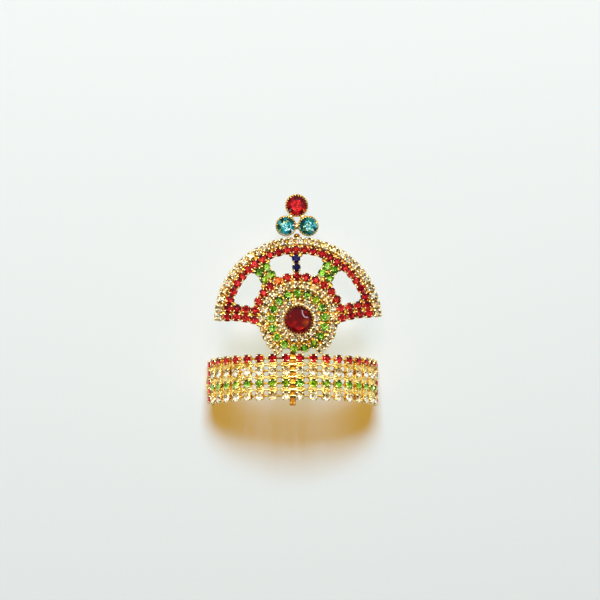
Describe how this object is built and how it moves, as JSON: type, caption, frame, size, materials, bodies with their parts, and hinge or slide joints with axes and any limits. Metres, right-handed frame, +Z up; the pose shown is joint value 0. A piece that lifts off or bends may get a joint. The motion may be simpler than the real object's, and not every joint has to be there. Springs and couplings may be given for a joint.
{
  "type": "jeweled crown for a figure",
  "caption": "Half-round band of gold cup chain set with glass stones, with a stem, a round medallion, a half-round fan and a cluster of larger stones, worn as a figure's crown.",
  "frame": {"origin": "on the surface that the crown lies on, under the middle of its box", "axes": "+Z up from that surface; +Y from the band towards the top stones; +X to the right as seen with the stones upwards and the top stones away from the viewer"},
  "size_m": [0.047, 0.0584, 0.0265],
  "materials": {
    "gold": "polished gold-plated brass, a little tarnished",
    "red_chain": "foil-backed red stones in gold-plated brass cups",
    "clear_chain": "foil-backed clear stones in gold-plated brass cups",
    "green_chain": "foil-backed green stones in gold-plated brass cups",
    "blue_chain": "foil-backed dark blue stones in gold-plated brass cups",
    "dark_red_glass": "foil-backed dark red cut glass",
    "aqua_glass": "foil-backed blue-green cut glass"
  },
  "bodies": {
    "root": {"band_frame": "gold", "tie_loop_left": "gold", "tie_loop_right": "gold", "stem": "gold", "centre_setting": "gold", "top_setting": "gold", "band_row_red": "red_chain", "end_strip_left": "red_chain", "end_strip_right": "red_chain", "fan_red_arch": "red_chain", "fan_arc_red": "red_chain", "wing_base_left": "red_chain", "wing_base_right": "red_chain", "band_row_clear_upper": "clear_chain", "band_row_clear_lower": "clear_chain", "ring_clear_inner": "clear_chain", "ring_clear_outer": "clear_chain", "fan_arc_clear": "clear_chain", "band_row_green": "green_chain", "ring_green": "green_chain", "spoke_green_left": "green_chain", "spoke_green_right": "green_chain", "spoke_blue": "blue_chain", "centre_stone": "dark_red_glass", "top_stone_red": "dark_red_glass", "top_stone_aqua_left": "aqua_glass", "top_stone_aqua_right": "aqua_glass"}
  },
  "joints": []
}
